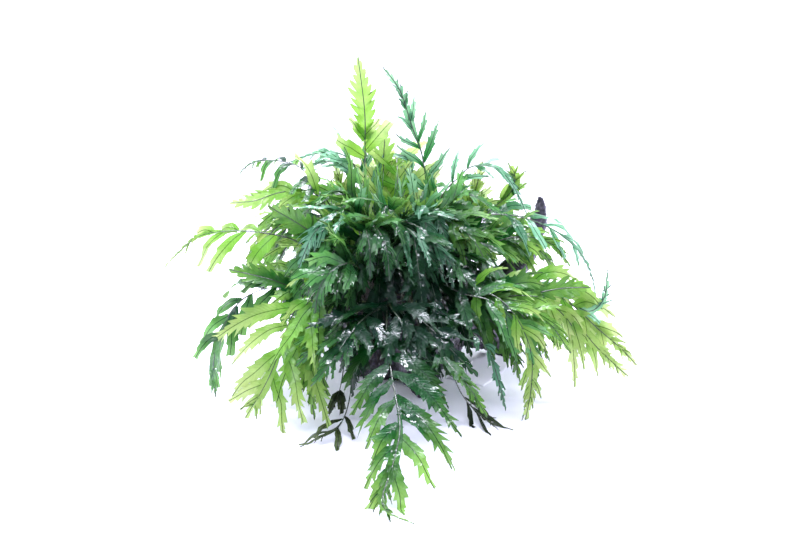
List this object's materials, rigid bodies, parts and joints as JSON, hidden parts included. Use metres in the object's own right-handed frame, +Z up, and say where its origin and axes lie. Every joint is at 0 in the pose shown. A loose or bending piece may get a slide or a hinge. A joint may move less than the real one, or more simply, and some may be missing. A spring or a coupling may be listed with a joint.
{
  "type": "african water fern on driftwood",
  "caption": "African water fern with toothed, translucent green fronds, rooted by creeping stems on a dark driftwood root, a plain plant label beside it",
  "frame": {"origin": "on the ground under the driftwood crown, in the middle of its flat cut", "axes": "+Z up, -Y towards the front that the picture shows, +X to the picture's right"},
  "size_m": [0.3875, 0.4554, 0.275],
  "materials": {
    "leaf_lime": "young fern leaf, thin, yellow-green, wet and see-through to light",
    "leaf_fresh": "grown fern leaf, mid green with a darker midrib, wet and glossy",
    "leaf_deep": "grown fern leaf, deep green, wet and glossy",
    "leaf_blue": "fern leaf with a bluish sheen, thin, wet and glossy",
    "old_leaf": "old fern leaf, dark olive brown, limp and wet",
    "rhizome_skin": "green-brown creeping stem with fine scales and root hairs",
    "bog_wood": "water-worn dark wood, purple-brown, damp, with long grain and hollows",
    "label_card": "white coated card, bare"
  },
  "bodies": {
    "root": {"driftwood_crown": "bog_wood", "driftwood_root_back": "bog_wood", "driftwood_root_front": "bog_wood", "driftwood_root_left": "bog_wood", "driftwood_root_right": "bog_wood", "driftwood_spur_right": "bog_wood", "frond_back_1": "leaf_deep", "frond_back_2": "leaf_fresh", "frond_back_3": "leaf_fresh", "frond_back_4": "leaf_deep", "frond_back_5": "leaf_lime", "frond_back_6": "leaf_fresh", "frond_back_7": "leaf_deep", "frond_back_lime_left": "leaf_lime", "frond_centre_down": "leaf_deep", "frond_centre_fan": "leaf_blue", "frond_centre_left_gloss": "leaf_deep", "frond_crest_left": "leaf_deep", "frond_crest_right": "leaf_deep", "frond_front_1": "leaf_deep", "frond_front_2": "leaf_deep", "frond_front_3": "leaf_deep", "frond_front_4": "leaf_deep", "frond_front_5": "leaf_deep", "frond_front_6": "leaf_deep", "frond_front_7": "leaf_blue", "frond_front_centre": "leaf_fresh", "frond_front_left_dark": "leaf_deep", "frond_front_left_lime": "leaf_lime", "frond_front_left_strap": "leaf_fresh", "frond_front_right_dark": "leaf_deep", "frond_front_right_low": "leaf_fresh", "frond_left_broad": "leaf_fresh", "frond_left_dark_arch": "leaf_deep", "frond_left_hanging": "leaf_deep", "frond_left_lime": "leaf_lime", "frond_left_middle": "leaf_fresh", "frond_left_pale": "leaf_lime", "frond_right_arch_high": "leaf_blue", "frond_right_arch_wide": "leaf_blue", "frond_right_drip": "leaf_blue", "frond_right_hook": "leaf_blue", "frond_right_long": "leaf_deep", "frond_right_low": "leaf_lime", "frond_right_middle": "leaf_fresh", "frond_right_spiky": "leaf_fresh", "frond_right_under": "leaf_fresh", "frond_right_upright": "leaf_lime", "frond_top_left_blue": "leaf_blue", "frond_top_middle_lime": "leaf_lime", "frond_top_right_small": "leaf_blue", "frond_upright_blue": "leaf_blue", "frond_upright_lime": "leaf_lime", "old_frond_left": "old_leaf", "old_frond_left_small": "old_leaf", "old_frond_right": "old_leaf", "plant_label": "label_card", "rhizome_back": "rhizome_skin", "rhizome_front": "rhizome_skin", "rhizome_top": "rhizome_skin"}
  },
  "joints": []
}
